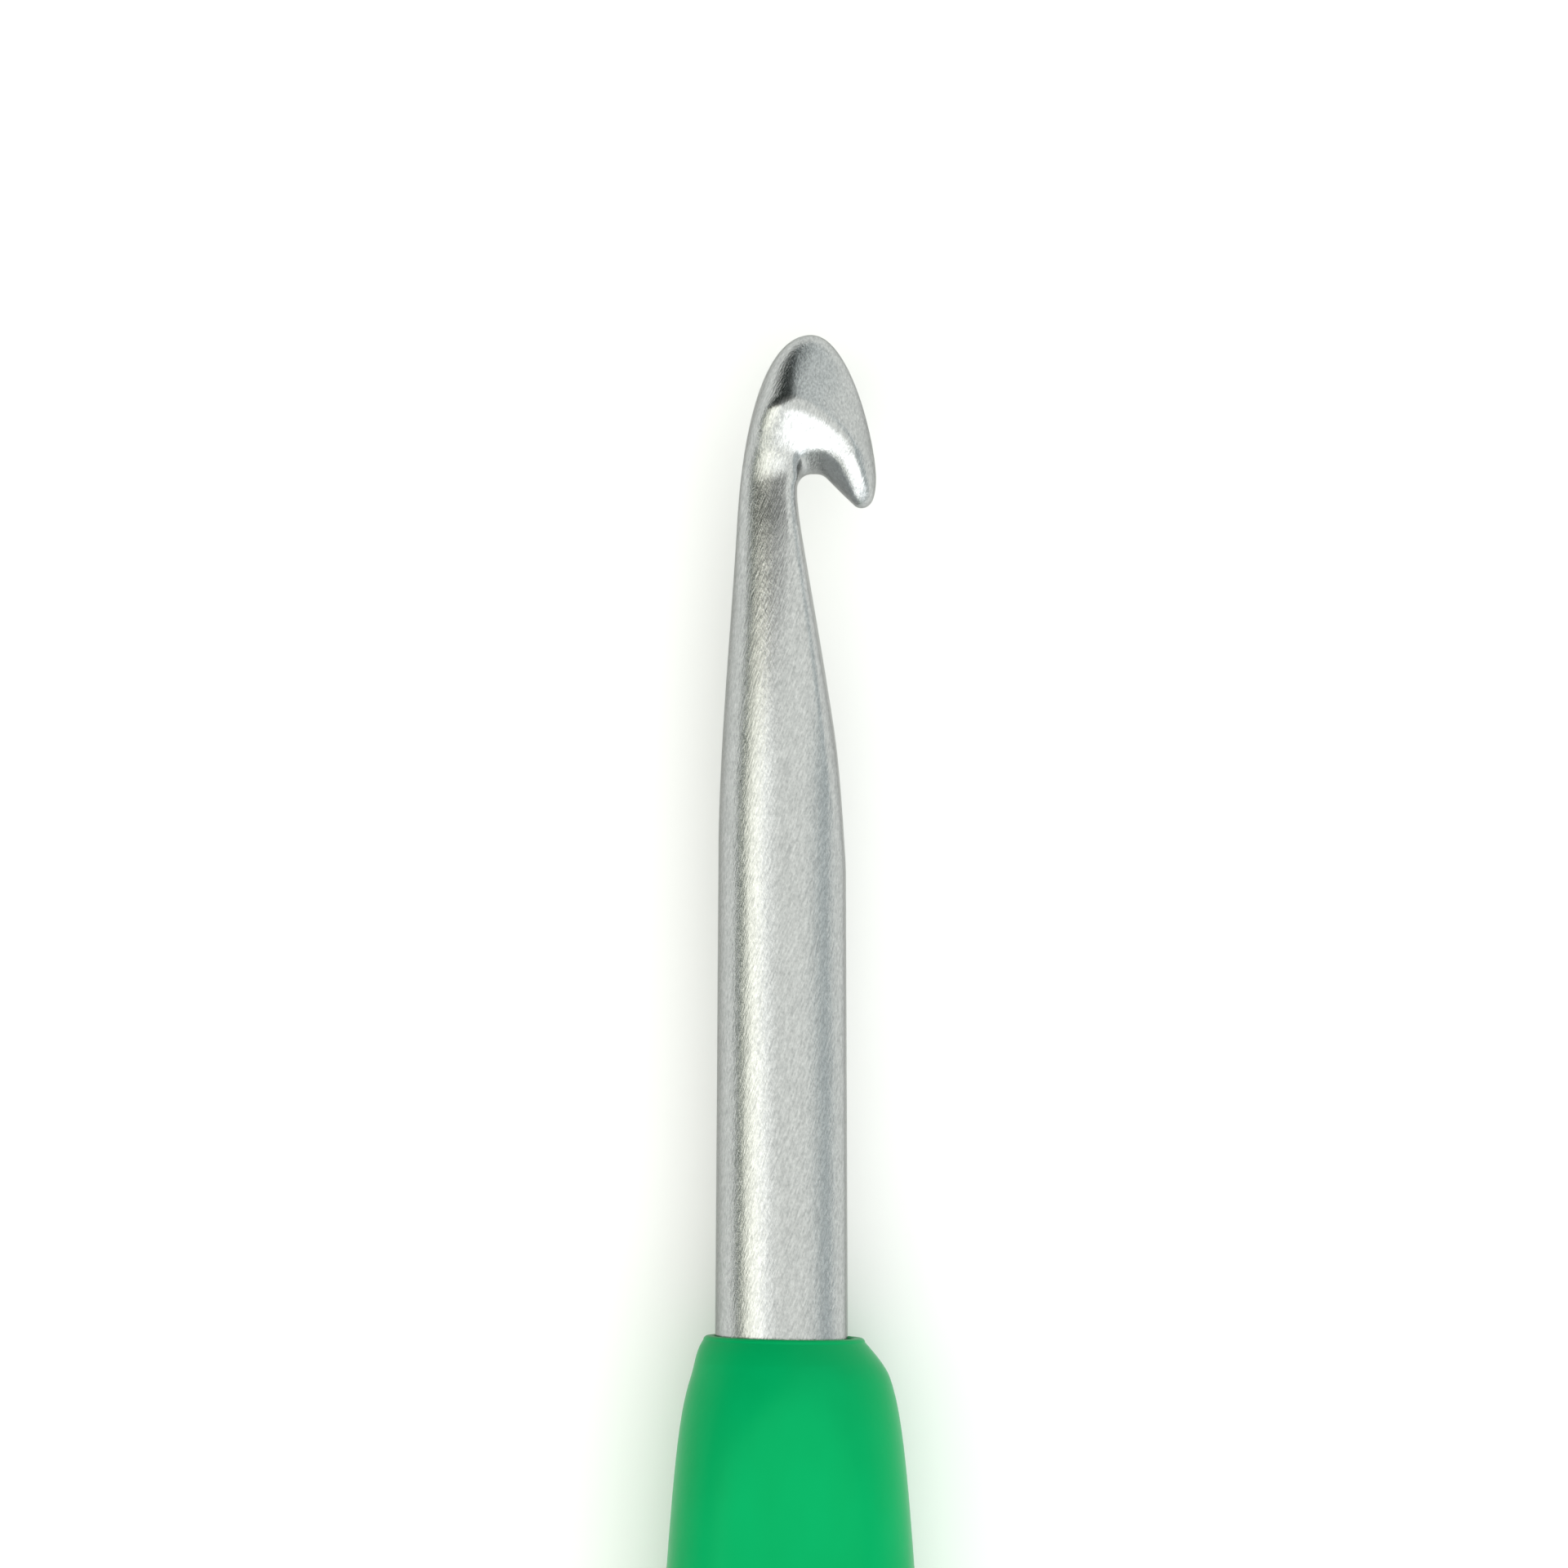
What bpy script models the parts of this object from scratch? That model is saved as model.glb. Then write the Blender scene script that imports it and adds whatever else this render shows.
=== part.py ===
"""Crochet hook: a cold-forged aluminium hook in a moulded handle.

The hook lies on its handle's flat underside. The frame's origin is the bottom centre of
the whole object, +X runs along it to the hook's tip, +Z is up, and the hook's mouth opens
to -Y. Lengths called "station" run back along the hook from its tip.
"""

import math

import bmesh
import bpy
import numpy as np

MM = 0.001

# Driving dimensions.
LENGTH = 145.0 * MM                 # tip to butt
GAUGE = 5.5 * MM                    # nominal shaft diameter
SHAFT_TAPER = 0.07 * MM             # the radius is this much less in front, more behind
HANDLE_THICKNESS = 9.4 * MM         # between the two flat faces
ROD_OFFSET = 0.28 * MM              # the rod's axis is this far from the handle's
GAP = 0.3 * MM                      # clearance drawn between touching pieces

# Stations along the hook.
LIP_STATION = 5.9 * MM
THROAT_STATION = 6.6 * MM
NECK_END = 18.0 * MM
TAPER_END = 20.7 * MM
COLLAR_STATION = 41.0 * MM
ROUND_END = 45.0 * MM
TANG_START = 46.0 * MM
TANG_END = 96.0 * MM
CORE_START = 47.0 * MM
CORE_END = 139.0 * MM

# The hook's side outline before the mouth is cut, as cubic curves of (station, offset
# towards the mouth), in millimetres.
TIP = (0.0, 1.12)
LIP_OFFSET = 3.77
BACK_CURVE = (TIP, (0.0, -0.71), (3.4, -1.67), (7.7, -1.92))
FRONT_CURVE = (TIP, (0.0, 2.70), (4.42, LIP_OFFSET), (5.9, LIP_OFFSET))
SPINE_CURVE = ((7.7, -1.92), (12.0, -2.17), (16.5, -2.62), (20.7, -2.68))
BELLY_CURVE = ((5.9, LIP_OFFSET), (9.0, LIP_OFFSET), (15.0, 2.85), (20.7, 2.68))

# The hook's half thickness: a cone-like nose up to a rounded crest, then a thin neck.
NOSE_SLOPE = 0.6
NOSE_RADIUS = 0.50 * MM
CREST_STATION = 2.8 * MM
CREST_HALF_THICKNESS = 2.4 * MM
CREST_ROUNDING = 0.35 * MM
NECK_FALL = 0.32
THROAT_HALF_THICKNESS = 1.62 * MM
THROAT_MIDDLE = 5.2 * MM
VALLEY_ROUNDING = 0.30 * MM

# The mouth and the throat below it, at the middle plane, and how they flare to the sides.
THROAT_CURVE = ((6.5, 0.54), (7.9, 0.54), (12.0, 1.56), (21.8, 2.86))
MOUTH_TOP = 5.7 * MM
MOUTH_ROOF_SLOPE = math.radians(38.0)
MOUTH_CORNER_RADIUS = 0.6 * MM
LIP_NOSE = (6.38 * MM, 3.12 * MM)
LIP_NOSE_RADIUS = 0.66 * MM
MOUTH_REACH = 9.0 * MM
THROAT_RUNOUT = 0.5 * MM
MOUTH_LEVELS = (0.0, 0.5, 1.0, 1.4, 1.7, 2.0, 2.3, 2.6, 3.2)
WALL_ROUNDING = 0.9 * MM
WALL_SLOPES = (0.1, 1.05)
FLARE_START = 1.6 * MM
FLARE_BEND = 0.3 * MM
FLARE_SLOPE = 1.15
FLARE_TURN = (0.1, 0.75)

# The tang that the handle is moulded round.
TANG_HALF_WIDTH = 2.3 * MM
TANG_HALF_THICKNESS = 1.5 * MM
TANG_NOTCH_DEPTH = 0.7 * MM
TANG_NOTCH_HALF_LENGTH = 2.0 * MM
TANG_NOTCH_RAMP = 0.5 * MM
TANG_NOTCH_STATIONS = (62.0 * MM, 80.0 * MM)
TANG_SQUARENESS = 4.0

# The handle's half width: a rounded shoulder, a thumb swell, a waist and a palm swell.
RIM_RADIUS = 3.17 * MM
SHOULDER_RISE = 1.15 * MM
SHOULDER_LENGTH = 1.5 * MM
THUMB_SWELL = 1.45 * MM
THUMB_STATION = 27.0 * MM           # from the collar
WAIST_STATION = 58.0 * MM
WAIST_HALF_WIDTH = 5.3 * MM
PALM_STATION = 86.0 * MM
PALM_HALF_WIDTH = 5.9 * MM
BUTT_ROUNDING = 16.0 * MM
BUTT_POWER = 2.5
BUTT_CAP = 0.02 * MM
HANDLE_SQUARENESS = 2.4
CROWN = 1.09                        # section height before the flats are cut, over the flats
CROWN_LENGTH = 7.0 * MM
OFFSET_BLEND = 1.7 * MM

# The core inside the grip, which narrows to these shares of its size at its two ends.
SKIN_SIDE = 1.7 * MM
SKIN_FLAT = 1.05 * MM
CORE_NOSE = 3.0 * MM
CORE_NOSE_SHARE = 0.78
CORE_NOSE_FULLNESS = 1.12
CORE_TAIL = 6.0 * MM
CORE_TAIL_SHARE = 0.55
CUTTER_OVERLAP = 2.0 * MM
HOLE_OVERLAP = 1.0 * MM

# How finely the shapes are divided.
ROD_POINTS = 32
HANDLE_POINTS = 40
CURVE_SAMPLES = 240
TIP_STEP = 0.5
HEAD_STEPS = 20
NECK_STEPS = 11
THROAT_STEPS = 8
MOUTH_CORNER_STEPS = 9
LIP_NOSE_STEPS = 7
SHOULDER_STEPS = 8
SHOULDER_FIRST_STEP = 0.1 * MM
SHOULDER_SPACING = 1.9
MIDDLE_STEPS = 13
BUTT_STEPS = 9
CORE_STEPS = 18
SHARP_ANGLE = math.radians(40.0)

HANDLE_HEIGHT = HANDLE_THICKNESS / 2.0
ALUMINIUM = ("aluminium", (0.80, 0.81, 0.80), 0.30, 1.0)
CORE_PLASTIC = ("core_plastic", (0.72, 0.72, 0.68), 0.50, 0.0)
GRIP_RUBBER = ("grip_rubber", (0.002, 0.434, 0.127), 0.45, 0.0)


def clear_scene():
    """Start from an empty scene."""
    for old in list(bpy.data.objects):
        bpy.data.objects.remove(old, do_unlink=True)


def make_material(spec):
    """A Principled material from (name, colour, roughness, metallic)."""
    name, colour, roughness, metallic = spec
    material = bpy.data.materials.new(name)
    material.use_nodes = True
    shader = material.node_tree.nodes["Principled BSDF"]
    shader.inputs["Base Color"].default_value = (*colour, 1.0)
    shader.inputs["Roughness"].default_value = roughness
    shader.inputs["Metallic"].default_value = metallic
    return material


def ease(low, high, share):
    """A smooth step from low to high as share goes from 0 to 1."""
    share = min(max(share, 0.0), 1.0)
    return low + (high - low) * (0.5 - 0.5 * math.cos(math.pi * share))


def cubic_outline(points):
    """A cubic curve in millimetres as a function: station in metres to offset in metres."""
    p0, p1, p2, p3 = (np.array(point) * MM for point in points)
    t = np.linspace(0.0, 1.0, CURVE_SAMPLES)[:, None]
    curve = (1 - t) ** 3 * p0 + 3 * (1 - t) ** 2 * t * p1 + 3 * (1 - t) * t ** 2 * p2 + t ** 3 * p3
    return lambda station: float(np.interp(station, curve[:, 0], curve[:, 1]))


back_of_head = cubic_outline(BACK_CURVE)
front_of_head = cubic_outline(FRONT_CURVE)
back_of_throat = cubic_outline(SPINE_CURVE)
front_of_belly = cubic_outline(BELLY_CURVE)
front_of_throat = cubic_outline(THROAT_CURVE)


def shaft_radius(station):
    """The shaft's radius, with its slight taper."""
    share = (station - TAPER_END) / (COLLAR_STATION - TAPER_END)
    return GAUGE / 2.0 + SHAFT_TAPER * (2.0 * min(max(share, 0.0), 1.0) - 1.0)


def section(station, centre, half_width, half_height, squareness=2.0):
    """One closed cross-section of a loft, described by its size."""
    return {"station": station, "centre": centre, "half_width": half_width,
            "half_height": half_height, "squareness": squareness}


def section_points(shape, count, flat_height=None):
    """The points of a section round the hook's axis, in the object's frame."""
    points = []
    for index in range(count):
        angle = 2.0 * math.pi * (index + 0.5) / count
        across, up = math.cos(angle), math.sin(angle)
        power = 2.0 / shape["squareness"]
        y = shape["half_width"] * math.copysign(abs(across) ** power, across)
        z = shape["half_height"] * math.copysign(abs(up) ** power, up)
        if flat_height is not None:
            z = min(max(z, -flat_height), flat_height)
        points.append((LENGTH / 2.0 - shape["station"], shape["centre"] + y, HANDLE_HEIGHT + z))
    return points


def loft(name, sections, count, flat_height=None):
    """A closed solid through the sections, from the first station to the last."""
    builder = bmesh.new()
    rings = []
    for shape in sections:
        points = section_points(shape, count, flat_height)
        rings.append([builder.verts.new(point) for point in points])
    for front, behind in zip(rings, rings[1:]):
        for index in range(count):
            following = (index + 1) % count
            builder.faces.new((front[index], front[following], behind[following], behind[index]))
    builder.faces.new(rings[0])
    builder.faces.new(rings[-1])
    return solid_from(name, builder)


def solid_from(name, builder):
    """Make an object of a bmesh, facing outwards and shaded smooth."""
    bmesh.ops.recalc_face_normals(builder, faces=builder.faces)
    mesh = bpy.data.meshes.new(name)
    builder.to_mesh(mesh)
    builder.free()
    mesh.shade_smooth()
    mesh.set_sharp_from_angle(angle=SHARP_ANGLE)
    made = bpy.data.objects.new(name, mesh)
    bpy.context.scene.collection.objects.link(made)
    return made


def cut(target, cutter):
    """Take the cutter's shape out of the target and keep the cutter out of the model."""
    cutter.hide_render = True
    cutter.display_type = "WIRE"
    modifier = target.modifiers.new(cutter.name, "BOOLEAN")
    modifier.operation = "DIFFERENCE"
    modifier.solver = "EXACT"
    modifier.object = cutter


def rod_section(station, back, front, half_height, squareness=2.0):
    """A section of the rod between its back and front outlines, the mouth being at -Y."""
    centre = ROD_OFFSET - (front + back) / 2.0
    return section(station, centre, (front - back) / 2.0, half_height, squareness)


def rod_half_height(station):
    """The half thickness: a cone-like nose, a rounded crest, the thin neck, then the round shaft."""
    nose = math.sqrt((NOSE_SLOPE * station) ** 2 + 2.0 * NOSE_RADIUS * station)
    falling = CREST_HALF_THICKNESS - NECK_FALL * (station - CREST_STATION)
    share = min(max((station - THROAT_MIDDLE) / (NECK_END - THROAT_MIDDLE), 0.0), 1.0)
    rise = shaft_radius(TAPER_END) - THROAT_HALF_THICKNESS
    rising = THROAT_HALF_THICKNESS + rise * math.sin(math.pi / 2.0 * share)
    blend = max(VALLEY_ROUNDING - abs(falling - rising), 0.0)
    neck = max(falling, rising) + blend ** 2 / (4.0 * VALLEY_ROUNDING)
    blend = max(CREST_ROUNDING - abs(nose - neck), 0.0)
    return min(nose, neck) - blend ** 2 / (4.0 * CREST_ROUNDING)


def head_sections():
    """The pointed head, from the tip to the lip."""
    sections = []
    for step in (TIP_STEP, *range(1, HEAD_STEPS + 1)):
        station = LIP_STATION * (1.0 - math.cos(math.pi / 2.0 * step / HEAD_STEPS))
        sections.append(rod_section(station, back_of_head(station), front_of_head(station),
                                    rod_half_height(station)))
    return sections


def throat_sections():
    """The neck from the lip to the full round shaft, before the mouth and throat are cut."""
    sections = []
    for step in range(1, NECK_STEPS + 1):
        station = LIP_STATION + (TAPER_END - LIP_STATION) * step / NECK_STEPS
        back = back_of_head(station)
        if station > SPINE_CURVE[0][0] * MM:
            back = back_of_throat(station)
        sections.append(rod_section(station, back, front_of_belly(station), rod_half_height(station)))
    return sections


def tang_half_width(station):
    """The tang's half width, less at the two pairs of notches that key the handle on."""
    for notch in TANG_NOTCH_STATIONS:
        if abs(station - notch) <= TANG_NOTCH_HALF_LENGTH:
            return TANG_HALF_WIDTH - TANG_NOTCH_DEPTH
    return TANG_HALF_WIDTH


def tang_sections(clearance=0.0):
    """The flattened tang, or the space that it fills when a clearance is given."""
    stations = [TANG_START]
    for notch in TANG_NOTCH_STATIONS:
        front = notch - TANG_NOTCH_HALF_LENGTH
        behind = notch + TANG_NOTCH_HALF_LENGTH
        stations += [front - TANG_NOTCH_RAMP, front, behind, behind + TANG_NOTCH_RAMP]
    stations.append(TANG_END + clearance)
    return [rod_section(station,
                        -tang_half_width(station) - clearance,
                        tang_half_width(station) + clearance,
                        TANG_HALF_THICKNESS + clearance,
                        TANG_SQUARENESS) for station in stations]


def mouth_reach(level, share):
    """How far the mouth spreads at a level, from the throat's side (0) to the roof's (1)."""
    wall = math.hypot(level, WALL_ROUNDING) - WALL_ROUNDING
    above = max(abs(level) - FLARE_START, 0.0)
    flare = above ** 2 / (above + FLARE_BEND)
    return (WALL_SLOPES[0] + (WALL_SLOPES[1] - WALL_SLOPES[0]) * share) * wall + FLARE_SLOPE * share * flare


def mouth_outline(level):
    """The cut's outline at one level: the throat, the mouth's corner, its roof and the lip."""
    points = []
    throat_reach = mouth_reach(level, 0.0)
    roof_reach = mouth_reach(level, 1.0)
    throat_end = TAPER_END + THROAT_RUNOUT
    for step in range(THROAT_STEPS + 1):
        station = throat_end + (THROAT_STATION - throat_end) * step / THROAT_STEPS
        fade = (TAPER_END - station) / (TAPER_END - THROAT_STATION)
        points.append((station, front_of_throat(station) - throat_reach * min(max(fade, 0.0), 1.0)))
    middle = (MOUTH_TOP + MOUTH_CORNER_RADIUS, front_of_throat(THROAT_STATION) + MOUTH_CORNER_RADIUS)
    for step in range(MOUTH_CORNER_STEPS + 1):
        turn = (math.pi / 2.0 + MOUTH_ROOF_SLOPE) * step / MOUTH_CORNER_STEPS
        share = ease(0.0, 1.0, (1.0 - math.cos(turn) - FLARE_TURN[0]) / (FLARE_TURN[1] - FLARE_TURN[0]))
        radius = MOUTH_CORNER_RADIUS + mouth_reach(level, share)
        points.append((middle[0] - radius * math.sin(turn), middle[1] - radius * math.cos(turn)))
    nose_station = LIP_NOSE[0] - roof_reach * math.cos(MOUTH_ROOF_SLOPE)
    nose_offset = LIP_NOSE[1] + roof_reach * math.sin(MOUTH_ROOF_SLOPE)
    for step in range(LIP_NOSE_STEPS + 1):
        turn = MOUTH_ROOF_SLOPE - math.pi / 2.0 + (math.pi - MOUTH_ROOF_SLOPE) * step / LIP_NOSE_STEPS
        points.append((nose_station + LIP_NOSE_RADIUS * math.cos(turn),
                       nose_offset + LIP_NOSE_RADIUS * math.sin(turn)))
    points.append((nose_station, MOUTH_REACH))
    points.append((points[0][0], MOUTH_REACH))
    return points


def make_mouth_cutter():
    """What is cut away below the lip, flared so that yarn slides in from both sides."""
    builder = bmesh.new()
    rings = []
    above = [level * MM for level in MOUTH_LEVELS]
    for level in [-level for level in above[:0:-1]] + above:
        rings.append([builder.verts.new((LENGTH / 2.0 - station, ROD_OFFSET - offset,
                                         HANDLE_HEIGHT + level))
                      for station, offset in mouth_outline(level)])
    count = len(rings[0])
    for below, above in zip(rings, rings[1:]):
        for index in range(count):
            following = (index + 1) % count
            builder.faces.new((below[index], below[following], above[following], above[index]))
    builder.faces.new(rings[0])
    builder.faces.new(rings[-1])
    return solid_from("mouth_cutter", builder)


def make_hook_rod():
    """The one-piece forged rod: head, throat, shaft and the hidden tang."""
    sections = head_sections() + throat_sections()
    for station in (COLLAR_STATION, ROUND_END):
        radius = shaft_radius(station)
        sections.append(rod_section(station, -radius, radius, radius))
    rod = loft("hook_rod", sections + tang_sections(), ROD_POINTS)
    cut(rod, make_mouth_cutter())
    return rod


def handle_half_width(along):
    """The handle's half width at a distance behind the collar, without the butt's end."""
    shoulder = RIM_RADIUS + SHOULDER_RISE * (1.0 - math.exp(-along / SHOULDER_LENGTH))
    thumb = shoulder + THUMB_SWELL * math.sin(math.pi / 2.0 * min(along / THUMB_STATION, 1.0))
    if along <= THUMB_STATION:
        return thumb
    if along <= WAIST_STATION:
        return ease(thumb, WAIST_HALF_WIDTH, (along - THUMB_STATION) / (WAIST_STATION - THUMB_STATION))
    return ease(WAIST_HALF_WIDTH, PALM_HALF_WIDTH,
                (along - WAIST_STATION) / (PALM_STATION - WAIST_STATION))


def handle_half_height(along):
    """The handle's half height before its flats are cut."""
    collar = RIM_RADIUS + SHOULDER_RISE * (1.0 - math.exp(-along / SHOULDER_LENGTH))
    share = min(along / CROWN_LENGTH, 1.0)
    return collar + (HANDLE_HEIGHT * CROWN - RIM_RADIUS - SHOULDER_RISE) * math.sin(math.pi / 2.0 * share)


def butt_factor(station):
    """How far the rounded butt has closed in, from 1 down to 0 at the end."""
    into = (station - (LENGTH - BUTT_ROUNDING)) / BUTT_ROUNDING
    return (1.0 - max(into, 0.0) ** BUTT_POWER) ** (1.0 / BUTT_POWER)


def handle_section(station):
    """The outer section of the grip."""
    along = station - COLLAR_STATION
    centre = ease(ROD_OFFSET, 0.0, along / OFFSET_BLEND)
    closing = butt_factor(station)
    squareness = ease(2.0, HANDLE_SQUARENESS, along / CROWN_LENGTH)
    return section(station, centre, handle_half_width(along) * closing,
                   handle_half_height(along) * closing, squareness)


def handle_stations():
    """Where the grip's sections are: close together at the shoulder and at the butt."""
    shoulder = [COLLAR_STATION + SHOULDER_FIRST_STEP * step ** SHOULDER_SPACING
                for step in range(SHOULDER_STEPS + 1)]
    middle_start = shoulder[-1]
    middle_end = LENGTH - BUTT_ROUNDING
    middle = [middle_start + (middle_end - middle_start) * step / MIDDLE_STEPS
              for step in range(1, MIDDLE_STEPS + 1)]
    butt = [LENGTH - BUTT_ROUNDING * (1.0 - math.sin(math.pi / 2.0 * step / BUTT_STEPS))
            for step in range(1, BUTT_STEPS)]
    return shoulder + middle + butt + [LENGTH - BUTT_CAP]


def core_sections(clearance=0.0):
    """The core inside the grip, or the space that it fills when a clearance is given."""
    sections = []
    start = CORE_START - clearance
    end = CORE_END + clearance
    for step in range(CORE_STEPS + 1):
        station = start + (end - start) * step / CORE_STEPS
        nose = ease(CORE_NOSE_SHARE, 1.0, (station - start) / CORE_NOSE)
        tail = ease(CORE_TAIL_SHARE, 1.0, (end - station) / CORE_TAIL)
        half_width = handle_half_width(station - COLLAR_STATION) - SKIN_SIDE
        half_height = HANDLE_HEIGHT - SKIN_FLAT - GAP
        sections.append(section(station, 0.0, half_width * nose * tail + clearance,
                                half_height * min(nose * CORE_NOSE_FULLNESS, 1.0) * tail + clearance,
                                HANDLE_SQUARENESS))
    return sections


def make_handle_core():
    """The stiff moulded core, with the pocket that holds the rod's tang."""
    core = loft("handle_core", core_sections(), HANDLE_POINTS)
    pocket_sections = tang_sections(GAP)
    mouth = dict(pocket_sections[0], station=CORE_START - CUTTER_OVERLAP)
    cut(core, loft("tang_pocket_cutter", [mouth] + pocket_sections[1:], ROD_POINTS))
    return core


def make_soft_grip():
    """The soft sleeve: its outer shape, the core's space and the rod's hole at the collar."""
    grip = loft("soft_grip", [handle_section(station) for station in handle_stations()],
                HANDLE_POINTS, HANDLE_HEIGHT)
    cut(grip, loft("core_space_cutter", core_sections(GAP), HANDLE_POINTS))
    hole_radius = shaft_radius(COLLAR_STATION) + GAP
    hole = [rod_section(station, -hole_radius, hole_radius, hole_radius)
            for station in (COLLAR_STATION - CUTTER_OVERLAP, CORE_START + HOLE_OVERLAP)]
    cut(grip, loft("rod_hole_cutter", hole, ROD_POINTS))
    return grip


def main():
    clear_scene()
    for made, spec in ((make_hook_rod(), ALUMINIUM),
                       (make_handle_core(), CORE_PLASTIC),
                       (make_soft_grip(), GRIP_RUBBER)):
        made.data.materials.append(make_material(spec))


main()
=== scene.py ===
"""Looks of the crochet hook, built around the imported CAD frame.

The hook lies along X with its tip at +X, and its mouth opens to -Y. The hook's own
coordinates are in millimetres: station back from the tip, offset from the shaft's axis
towards the mouth, and height above the axis.
"""

import math

import bpy
import numpy as np
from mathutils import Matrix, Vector


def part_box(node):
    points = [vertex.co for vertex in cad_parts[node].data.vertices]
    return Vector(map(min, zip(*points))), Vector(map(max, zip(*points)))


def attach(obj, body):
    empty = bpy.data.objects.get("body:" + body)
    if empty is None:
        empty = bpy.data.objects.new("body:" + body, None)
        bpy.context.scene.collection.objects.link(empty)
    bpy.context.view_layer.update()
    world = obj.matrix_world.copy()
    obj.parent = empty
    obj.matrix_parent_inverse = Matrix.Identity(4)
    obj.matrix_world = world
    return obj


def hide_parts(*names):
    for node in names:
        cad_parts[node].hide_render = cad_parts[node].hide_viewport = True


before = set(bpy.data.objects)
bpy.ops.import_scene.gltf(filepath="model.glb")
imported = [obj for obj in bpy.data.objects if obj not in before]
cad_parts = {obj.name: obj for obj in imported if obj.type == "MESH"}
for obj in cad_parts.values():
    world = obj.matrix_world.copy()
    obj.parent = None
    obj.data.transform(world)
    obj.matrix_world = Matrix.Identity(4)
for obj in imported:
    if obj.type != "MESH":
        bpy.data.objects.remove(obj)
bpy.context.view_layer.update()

MM = 0.001

# The hook in millimetres: its outline before the mouth is cut, as cubic curves.
TIP = (0.0, 1.12)
LIP_OFFSET = 3.77
BACK_CURVE = (TIP, (0.0, -0.71), (3.4, -1.67), (7.7, -1.92))
SPINE_CURVE = ((7.7, -1.92), (12.0, -2.17), (16.5, -2.62), (20.7, -2.68))
FRONT_CURVE = (TIP, (0.0, 2.70), (4.42, LIP_OFFSET), (5.9, LIP_OFFSET))
NOSE_CURVE = ((5.9, LIP_OFFSET), (6.75, LIP_OFFSET), (7.1, 3.45), (8.2, 3.2))
BELLY_CURVE = ((8.2, 3.2), (11.0, 2.86), (15.0, 2.70), (20.7, 2.68))
CURVE_SAMPLES = 1500

# Its half thickness: a cone-like nose, a crest that sweeps back on both sides, and a thin neck.
NOSE_SLOPE = 0.60
NOSE_RADIUS = 0.50
CREST_STATION = 2.8
CREST_HALF_THICKNESS = 2.4
CREST_ROUNDING = 0.35
CREST_LEANS = (0.35, 0.80)
LEAN_MIDDLE = 0.25
LEAN_BEND = 1.0
LEAN_FADE = 4.0
BACK_SQUARENESS = 0.8
BACK_FADE = (3.4, 5.2)
NECK_FALL = 0.32
THROAT_HALF_THICKNESS = 1.62
THROAT_MIDDLE = 5.2
VALLEY_ROUNDING = 0.30
NECK_END = 18.0

# The shaft, and the tang inside the handle.
TAPER_END = 20.7
SHAFT_RADIUS = (2.68, 2.82)
COLLAR_STATION = 41.0
ROUND_END = 45.0
TANG_START = 46.0
TANG_END = 96.0
TANG_END_ROUNDING = 0.4
TANG_HALF_SIZE = (2.3, 1.5)
TANG_SQUARENESS = 4.0
TANG_NOTCHES = (62.0, 80.0)
TANG_NOTCH_DEPTH = 0.7
TANG_NOTCH_HALF_LENGTH = 2.2
TANG_NOTCH_RAMP = 0.6

# The mouth, whose walls flare outwards above and below.
THROAT_CURVE = ((6.5, 0.54), (7.9, 0.54), (12.0, 1.56), (21.8, 2.86))
ROOF_TOP = 5.70
LIP_BEND_OFFSET = 1.573
MOUTH_CORNER = 0.60
LIP_ROUNDING = 0.80
ROUNDING_CHANGE_START = 0.4
ROUNDING_CHANGE_LENGTH = 1.0
CREST_ROUNDINGS = (0.4, 0.5)
FLARE_TURN = (0.1, 0.75)
WALL_ROUNDING = 0.9
WALL_SLOPES = (0.1, 1.05)
EDGE_SLOPE_SQUARED = 1.02
FLARE_START = 1.6
FLARE_BEND = 0.3
FLARE_SLOPES = (0.0, 1.15)

# The handle in millimetres.
LENGTH = 145.0
RIM_RADIUS = 3.17
SHOULDER_RISE = 1.15
SHOULDER_LENGTH = 1.5
THUMB_SWELL = 1.45
THUMB_STATION = 27.0
WAIST_STATION = 58.0
WAIST_HALF_WIDTH = 5.3
PALM_STATION = 86.0
PALM_HALF_WIDTH = 5.9
BUTT_ROUNDING = 16.0
BUTT_POWER = 2.5
HANDLE_SQUARENESS = 2.4
CROWN = 1.09
CROWN_LENGTH = 7.0
FLAT_ROUNDING = 0.35
OFFSET_BLEND = 1.7
RIM_TILT = 0.018
RIM_TILT_LENGTH = 2.0
RIM_ROUNDING = 0.18
ROD_CLEARANCE = 0.02
# Painted shade on the grip: a slightly darker band just behind the rim, standing for the chamfer's shade,
# with its length and its soft edge.
COLLAR_SHADE_LENGTH = 1.0
COLLAR_SHADE_EDGE = 0.1

# The grip's bore and the pocket that holds its core, in millimetres.
BORE_CHAMFER = 0.06
BORE_CHAMFER_DEPTHS = (0.01, 0.10)
BORE_END = 0.4
POCKET_STATIONS = (46.7, 139.3)
POCKET_WALL = 1.4
POCKET_CLEARANCES = (0.1, 0.15)
POCKET_TAIL_SHARE = 0.55
POCKET_TAIL_LENGTH = 6.0
POCKET_CROWN = 0.2

# How finely the shapes are divided: ring counts for the grip, and steps in millimetres for the hook.
GRIP_POINTS = 144
RIM_STEPS = 5
SHOULDER_RINGS = 40
SHOULDER_REACH = 9.0
SHOULDER_SPACING = 1.8
MIDDLE_RINGS = 60
BUTT_RINGS = 40
POCKET_RINGS = 24
GRID_STEP = 0.075
GRID_FINE_END = 8.5
GRID_GROWTH = 1.06
GRID_COARSE_STEP = 0.5
GRID_MARGIN = 1.0
GRID_OFFSETS = (-3.2, 4.2)
GRID_HEIGHTS = (-3.09, 3.1)

# The rod's sections are worked out once: first and last station, and how many, for head and shaft.
# Ahead of the tip's row the section shrinks to a point.
HEAD_TABLE = (0.0, 25.0, 12501)
SHAFT_TABLE = (25.0, 100.0, 3001)
TIP_ROW = 20

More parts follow.
